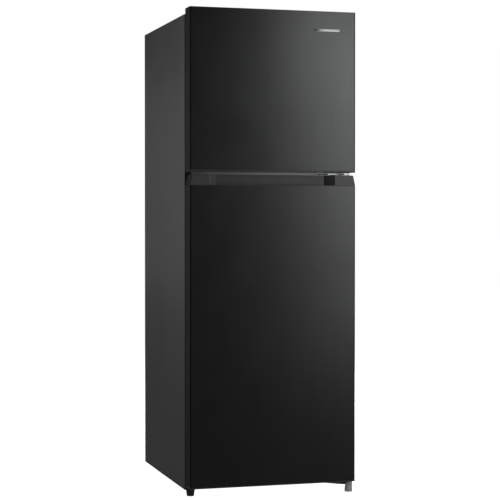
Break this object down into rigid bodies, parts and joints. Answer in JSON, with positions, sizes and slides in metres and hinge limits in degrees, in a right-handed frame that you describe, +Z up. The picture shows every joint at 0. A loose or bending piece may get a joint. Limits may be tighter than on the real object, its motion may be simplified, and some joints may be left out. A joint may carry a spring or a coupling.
{
  "type": "top freezer refrigerator",
  "caption": "Free-standing top freezer refrigerator: two dark doors hinged on the right, a hand scoop between them, shelves, drawer and door bins inside.",
  "frame": {"origin": "centre of the bounding box's base, on the floor", "axes": "+Z up, +X to the right of someone facing the doors, +Y from the doors to the back"},
  "size_m": [0.55, 0.66, 1.548],
  "materials": {
    "coated_steel": "satin",
    "side_paint": "satin",
    "zinc_steel": "satin",
    "liner_plastic": "satin",
    "white_plastic": "satin",
    "cap_plastic": "matte",
    "rigid_foam": "matte",
    "clear_plastic": "gloss",
    "shelf_glass": "gloss",
    "grey_plastic": "matte",
    "seal_rubber": "matte",
    "black_paint": "satin",
    "copper_tube": "satin",
    "fin_aluminium": "satin"
  },
  "bodies": {
    "cabinet": {"left_side_panel": "side_paint", "right_side_panel": "side_paint", "top_panel": "side_paint", "rear_panel": "side_paint", "mullion_rail": "zinc_steel", "base_plate": "zinc_steel", "top_hinge_bracket": "zinc_steel", "middle_hinge_bracket": "zinc_steel", "bottom_hinge_bracket": "zinc_steel", "compressor_base": "zinc_steel", "insulation_foam": "rigid_foam", "condenser_coil": "copper_tube", "suction_line": "copper_tube", "fridge_liner": "liner_plastic", "air_duct_cover": "liner_plastic", "control_housing": "liner_plastic", "freezer_liner": "white_plastic", "evaporator_cover": "white_plastic", "crisper_cover_trim": "white_plastic", "ice_maker_frame": "white_plastic", "crisper_cover_glass": "shelf_glass", "lamp_lens": "clear_plastic", "top_hinge_cover": "cap_plastic", "drain_pan": "cap_plastic", "machine_cover": "cap_plastic", "compressor": "black_paint", "fan_motor": "grey_plastic", "evaporator_coil": "fin_aluminium"},
    "freezer_door": {"freezer_door_panel": "coated_steel", "freezer_door_foam": "rigid_foam", "freezer_door_liner": "liner_plastic", "freezer_door_gasket": "seal_rubber", "freezer_door_top_cap": "cap_plastic", "freezer_door_bottom_cap": "cap_plastic"},
    "fridge_door": {"fridge_door_panel": "coated_steel", "fridge_door_foam": "rigid_foam", "fridge_door_liner": "liner_plastic", "fridge_door_gasket": "seal_rubber", "fridge_door_grip_cap": "cap_plastic", "fridge_door_bottom_cap": "cap_plastic"},
    "freezer_shelf": {"freezer_shelf": "white_plastic"},
    "ice_bin": {"ice_bin": "clear_plastic"},
    "ice_tray": {"ice_tray": "grey_plastic"},
    "freezer_bin_upper": {"freezer_bin_upper": "clear_plastic"},
    "freezer_bin_lower": {"freezer_bin_lower": "clear_plastic"},
    "fridge_bin_upper": {"fridge_bin_upper": "clear_plastic"},
    "fridge_bin_middle": {"fridge_bin_middle": "clear_plastic"},
    "fridge_bin_bottle": {"fridge_bin_bottle": "clear_plastic"},
    "fridge_shelf_upper": {"fridge_shelf_upper_glass": "shelf_glass", "fridge_shelf_upper_trim": "white_plastic"},
    "fridge_shelf_middle": {"fridge_shelf_middle_glass": "shelf_glass", "fridge_shelf_middle_trim": "white_plastic"},
    "crisper_drawer": {"crisper_drawer": "clear_plastic"},
    "humidity_slider": {"humidity_slider": "grey_plastic"},
    "temperature_knob": {"temperature_knob": "grey_plastic"},
    "fan_blade": {"fan_blade": "grey_plastic"},
    "left_foot": {"left_foot": "black_paint"},
    "right_foot": {"right_foot": "zinc_steel"},
    "left_roller": {"left_roller": "grey_plastic"},
    "right_roller": {"right_roller": "grey_plastic"}
  },
  "joints": [
    {"name": "freezer_door_hinge", "type": "hinge", "parent": "cabinet", "child": "freezer_door", "pos_m": [0.261, -0.305, 1.29], "axis": [0, 0, 1], "range_deg": [0, 120]},
    {"name": "fridge_door_hinge", "type": "hinge", "parent": "cabinet", "child": "fridge_door", "pos_m": [0.261, -0.305, 0.53], "axis": [0, 0, 1], "range_deg": [0, 120]},
    {"name": "freezer_shelf_slide", "type": "slide", "parent": "cabinet", "child": "freezer_shelf", "axis": [0, -1, 0], "range_m": [0, 0.035]},
    {"name": "ice_bin_slide", "type": "slide", "parent": "freezer_shelf", "child": "ice_bin", "axis": [0, -1, 0], "range_m": [0, 0.06]},
    {"name": "ice_tray_twist", "type": "hinge", "parent": "cabinet", "child": "ice_tray", "pos_m": [-0.156, 0.04, 1.388], "axis": [0, -1, 0], "range_deg": [0, 140], "stiffness_Nm_per_rad": 0.06, "springref_deg": -17.19},
    {"name": "freezer_bin_upper_lift", "type": "slide", "parent": "freezer_door", "child": "freezer_bin_upper", "axis": [0, 0, 1], "range_m": [0, 0.025]},
    {"name": "freezer_bin_lower_lift", "type": "slide", "parent": "freezer_door", "child": "freezer_bin_lower", "axis": [0, 0, 1], "range_m": [0, 0.025]},
    {"name": "fridge_bin_upper_lift", "type": "slide", "parent": "fridge_door", "child": "fridge_bin_upper", "axis": [0, 0, 1], "range_m": [0, 0.025]},
    {"name": "fridge_bin_middle_lift", "type": "slide", "parent": "fridge_door", "child": "fridge_bin_middle", "axis": [0, 0, 1], "range_m": [0, 0.025]},
    {"name": "fridge_bin_bottle_lift", "type": "slide", "parent": "fridge_door", "child": "fridge_bin_bottle", "axis": [0, 0, 1], "range_m": [0, 0.025]},
    {"name": "fridge_shelf_upper_slide", "type": "slide", "parent": "cabinet", "child": "fridge_shelf_upper", "axis": [0, -1, 0], "range_m": [0, 0.045]},
    {"name": "fridge_shelf_middle_slide", "type": "slide", "parent": "cabinet", "child": "fridge_shelf_middle", "axis": [0, -1, 0], "range_m": [0, 0.045]},
    {"name": "crisper_drawer_slide", "type": "slide", "parent": "cabinet", "child": "crisper_drawer", "axis": [0, -1, 0], "range_m": [0, 0.035]},
    {"name": "humidity_slide", "type": "slide", "parent": "cabinet", "child": "humidity_slider", "axis": [1, 0, 0], "range_m": [0, 0.03]},
    {"name": "temperature_turn", "type": "hinge", "parent": "cabinet", "child": "temperature_knob", "pos_m": [0.05, -0.1173, 0.977], "axis": [0, -1, 0], "range_deg": [0, 270]},
    {"name": "fan_spin", "type": "hinge", "parent": "cabinet", "child": "fan_blade", "pos_m": [0, 0.206, 1.385], "axis": [0, 1, 0], "continuous": true},
    {"name": "left_foot_turn", "type": "hinge", "parent": "cabinet", "child": "left_foot", "pos_m": [-0.2515, -0.24, 0.01], "axis": [0, 0, 1], "continuous": true},
    {"name": "right_foot_turn", "type": "hinge", "parent": "cabinet", "child": "right_foot", "pos_m": [0.261, -0.305, 0.01], "axis": [0, 0, 1], "continuous": true},
    {"name": "left_roller_spin", "type": "hinge", "parent": "cabinet", "child": "left_roller", "pos_m": [-0.225, 0.285, 0.0165], "axis": [1, 0, 0], "continuous": true},
    {"name": "right_roller_spin", "type": "hinge", "parent": "cabinet", "child": "right_roller", "pos_m": [0.225, 0.285, 0.0165], "axis": [1, 0, 0], "continuous": true}
  ]
}
